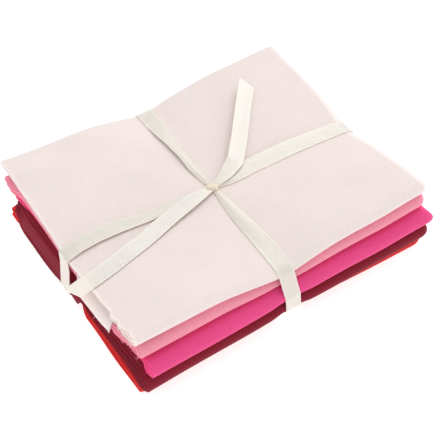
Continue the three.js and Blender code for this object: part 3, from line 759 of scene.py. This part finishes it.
def knot(material, size):
    """The knot: a short roll of ribbon, its section a flattened round with three pleats, drawn in at the
    ends to a rounded close."""
    along = np.linspace(0.03, math.pi - 0.03, 26)[:, None]
    round_it = np.linspace(0, 2 * math.pi, 48, endpoint=False)[None, :]
    swell = np.sin(along) ** 0.25
    pleat = 1 + 0.06 * np.cos(3 * round_it + 1.2) * np.sin(along)
    x = -np.cos(along) * KNOT["long"] / 2 * np.ones_like(round_it)
    y = swell * pleat * np.cos(round_it) * KNOT["wide"] / 2
    z = swell * pleat * np.sin(round_it) * KNOT["high"] / 2
    turn = math.radians(KNOT["turn"])
    base = float(top_height(np.array(KNOT["x"]), np.array(KNOT["y"]), size)) + KNOT["high"] / 2 + 0.4
    points = np.stack([KNOT["x"] + x * math.cos(turn) - y * math.sin(turn),
                       KNOT["y"] + x * math.sin(turn) + y * math.cos(turn), base + z], axis=-1)
    count, sides = points.shape[:2]
    at = np.arange(count * sides).reshape(count, sides)
    beside = np.roll(at, -1, axis=1)
    walls = np.stack([at[:-1], beside[:-1], beside[1:], at[1:]], axis=-1).reshape(-1, 4)
    faces = [*walls.tolist(), at[0, ::-1].tolist(), at[-1].tolist()]
    uv = np.stack([np.broadcast_to(round_it * 1.2, x.shape), x], axis=-1) * MM
    # The knot is painted with warm shade all over.
    return make_mesh("ribbon_knot", points, faces, material, uv, 80,
                     {"gathered": np.full((count, sides), WARM_SHADE_KNOT)})


# Loose threads


def threads(name, roots, ways, length, material, seed):
    """Loose threads: each a thin three-sided tube whose middle runs from its root along its way, bends down
    with the square of the distance and curls by a sine of it."""
    draw = np.random.default_rng(seed)
    count = len(roots)
    t = np.linspace(0, 1, 6)[None, :, None]
    long = length * draw.uniform(0.4, 1.3, (count, 1, 1))
    ways = unit(ways + draw.normal(0, 0.35, ways.shape))[:, None]
    side = unit(np.cross(ways, (0, 0, 1.0)))
    swing = np.sin(draw.uniform(2, 6, (count, 1, 1)) * t)
    curl = side * swing * draw.uniform(-0.25, 0.25, (count, 1, 1)) * long
    middle = roots[:, None] + ways * long * t + curl + np.array((0, 0, -0.3)) * long * t**2
    turn = np.radians((90, 210, 330))[None, None, :, None]
    up = np.cross(ways, side)[:, :, None]
    ring = side[:, :, None] * np.cos(turn) + up * np.sin(turn)
    points = middle[:, :, None] + ring * THREAD_RADIUS * (1 - 0.4 * t[..., None])
    at = np.arange(count * 18).reshape(count, 6, 3)
    beside = np.roll(at, -1, axis=2)
    walls = np.stack([at[:, :-1], beside[:, :-1], beside[:, 1:], at[:, 1:]], axis=-1).reshape(-1, 4)
    caps = np.concatenate([at[:, 0, ::-1], at[:, -1]])
    faces = [*walls.tolist(), *caps.tolist()]
    uv = np.broadcast_to(t[..., None] * np.array((0.001, 0.002)), (count, 6, 3, 2))
    return make_mesh(name, points, faces, material, uv, 80)


# Operators


class BUNDLE_OT_cloths(Operator):
    """Make the folded cloths, each one whole sheet on its solid's folds."""

    bl_idname = "fabric_bundle.cloths"
    bl_label = "Folded cloths"

    def execute(self, context):
        size = sizes_mm(context)
        colours = context.scene.bundle_colours
        for index, cloth in enumerate(CLOTHS):
            name = cloth["name"]
            material = cotton("cotton_" + name, tuple(getattr(colours, name)), size["thread_spacing"] * MM)
            over, under, uv, worn = cloth_shell(index, size)
            faces = shell_faces(*over.shape[:2])
            faces = (faces[:, ::-1] if cloth["cut_end"] == "right" else faces).tolist()
            points = np.stack([over, under])
            piece = make_mesh("folded_cloth_" + name, points, faces, material, uv, marks={"worn": worn})
            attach(piece, "root")
            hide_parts("cloth_" + name)
        return {"FINISHED"}


class BUNDLE_OT_ribbon(Operator):
    """Make the satin ribbon: two bands round the stack, the knot and two free tails."""

    bl_idname = "fabric_bundle.ribbon"
    bl_label = "Ribbon"

    def execute(self, context):
        size = sizes_mm(context)
        material = satin("satin_ivory", tuple(context.scene.bundle_colours.ribbon))
        shells = [cloth_shell(index, size)[0].reshape(-1, 3) for index in range(len(CLOTHS))]
        vertices = np.concatenate(shells)
        pieces = [
            band("ribbon_front_to_back", vertices, "front to back", FRONT_TO_BACK, material, size),
            band("ribbon_left_to_right", vertices, "left to right", LEFT_TO_RIGHT, material, size),
            tail("ribbon_tail_to_back", TAIL_TO_BACK, TAIL_CUT, material, size),
            tail("ribbon_tail_to_left", TAIL_TO_LEFT, -TAIL_CUT, material, size),
            knot(material, size),
        ]
        for piece in pieces:
            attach(piece, "root")
        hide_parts("ribbon_tie")
        return {"FINISHED"}


class BUNDLE_OT_frays(Operator):
    """Make the loose threads at the cut edges on the left."""

    bl_idname = "fabric_bundle.frays"
    bl_label = "Frayed edges"

    def execute(self, context):
        size = sizes_mm(context)
        for index, cloth in enumerate(CLOTHS):
            if cloth["cut_end"] != "left":
                continue
            over = cloth_shell(index, size)[0]
            rows = cloth_rows(cloth)
            flat_rows = np.flatnonzero((rows["front_out"] == 0) & (rows["back_out"] == 0))
            draw = np.random.default_rng(50 + index)
            edge = over[:, [0, -1]]
            off = np.abs(edge[flat_rows, 0, 1] - THREAD_PLACE)
            tight = np.exp(-off / THREAD_SPREAD) * (3 if index > 2 else 0.5) + 0.06
            picked = draw.choice(flat_rows, THREAD_COUNT, p=tight / tight.sum())
            lower = edge[picked, draw.integers(0, 2, THREAD_COUNT)]
            upper = edge[np.minimum(picked + 1, len(edge) - 1), 0]
            roots = lower + (upper - edge[picked, 0]) * draw.uniform(0, 1, (THREAD_COUNT, 1))
            roots[:, 0] += THREAD_DEPTH
            ways = np.tile((-1.0, 0.0, -0.25), (THREAD_COUNT, 1))
            piece = threads("frays_" + cloth["name"], roots, ways, size["fray_length"],
                            bpy.data.materials["cotton_" + cloth["name"]], 70 + index)
            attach(piece, "root")
        return {"FINISHED"}


# The studio: two soft lights, with places and widths in metres and power in watts, the level of the white
# room round them, the floor's own glow and half its side in mm.
LIGHTS = (
    dict(name="key", place=(1.1, 0.6, 1.4), power=13.5, wide=1.4),
    dict(name="fill", place=(-0.35, -1.1, 0.6), power=1.2, wide=1.2),
)
ROOM_LIGHT = 0.74
FLOOR_GLOW = 0.7
FLOOR_HALF = 3000.0

# The camera's axes and place, fitted to the corners of the stack.
CAMERA = dict(right=(0.83098, -0.55630, 0.0), up=(0.41600, 0.62141, 0.66393),
              back=(-0.36934, -0.55171, 0.74780), eye=(-164.07, -249.40, 340.60), lens=84.68, sensor=36)


class BUNDLE_OT_stage(Operator):
    """Make the pale floor, the soft lights and the camera."""

    bl_idname = "fabric_bundle.stage"
    bl_label = "Stage"

    def execute(self, context):
        scene = context.scene
        shade = tuple(scene.bundle_colours.floor)
        material, _, shader = blank_material("matt_backdrop_paper", shade)
        shader.inputs["Base Color"].default_value = (*shade, 1)
        shader.inputs["Roughness"].default_value = 0.9
        shader.inputs["Specular IOR Level"].default_value = 0.1
        # Lit from below as well, as a studio's light table is, which keeps it white and the shadows faint.
        shader.inputs["Emission Color"].default_value = (1, 1, 1, 1)
        shader.inputs["Emission Strength"].default_value = FLOOR_GLOW
        corners = np.array([(-1, -1, 0), (1, -1, 0), (1, 1, 0), (-1, 1, 0)]) * FLOOR_HALF
        make_mesh("floor", corners, [(0, 1, 2, 3)], material)
        world = bpy.data.worlds.new("studio")
        scene.world = world
        world.use_nodes = True
        background = world.node_tree.nodes["Background"]
        background.inputs["Color"].default_value = (1, 1, 1, 1)
        background.inputs["Strength"].default_value = ROOM_LIGHT
        for each in LIGHTS:
            lamp = bpy.data.lights.new(each["name"], "AREA")
            lamp.energy, lamp.size = each["power"], each["wide"]
            light = bpy.data.objects.new(each["name"], lamp)
            light.location = each["place"]
            light.rotation_euler = (-light.location).to_track_quat("-Z", "Y").to_euler()
            scene.collection.objects.link(light)
        add_camera(scene)
        scene.view_settings.view_transform = "Standard"
        return {"FINISHED"}


def add_camera(scene):
    data = bpy.data.cameras.new("camera")
    data.lens, data.sensor_width, data.sensor_fit = CAMERA["lens"], CAMERA["sensor"], "HORIZONTAL"
    camera = bpy.data.objects.new("camera", data)
    turn = Matrix((CAMERA["right"], CAMERA["up"], CAMERA["back"])).transposed().to_4x4()
    x, y, z = CAMERA["eye"]
    turn.translation = ((x + SHIFT[0]) * MM, (y + SHIFT[1]) * MM, z * MM)
    camera.matrix_world = turn
    scene.collection.objects.link(camera)
    scene.camera = camera


class BUNDLE_PT_panel(Panel):
    """Panel that lists the steps, sizes and colours."""

    bl_idname = "BUNDLE_PT_panel"
    bl_label = "Fabric bundle"
    bl_space_type = "VIEW_3D"
    bl_region_type = "UI"
    bl_category = "Fabric bundle"

    def draw(self, context):
        for operator in OPERATORS:
            self.layout.operator(operator.bl_idname)
        for group in (context.scene.bundle_sizes, context.scene.bundle_colours):
            for name in type(group).__annotations__:
                self.layout.prop(group, name)


OPERATORS = (BUNDLE_OT_cloths, BUNDLE_OT_ribbon, BUNDLE_OT_frays, BUNDLE_OT_stage)
CLASSES = (BundleSizes, BundleColours, *OPERATORS, BUNDLE_PT_panel)


def register():
    for each in CLASSES:
        bpy.utils.register_class(each)
    bpy.types.Scene.bundle_sizes = PointerProperty(type=BundleSizes)
    bpy.types.Scene.bundle_colours = PointerProperty(type=BundleColours)


def unregister():
    del bpy.types.Scene.bundle_sizes, bpy.types.Scene.bundle_colours
    for each in reversed(CLASSES):
        bpy.utils.unregister_class(each)


def main():
    register()
    bpy.ops.fabric_bundle.cloths()
    bpy.ops.fabric_bundle.ribbon()
    bpy.ops.fabric_bundle.frays()
    bpy.ops.fabric_bundle.stage()


if __name__ == "__main__":
    main()
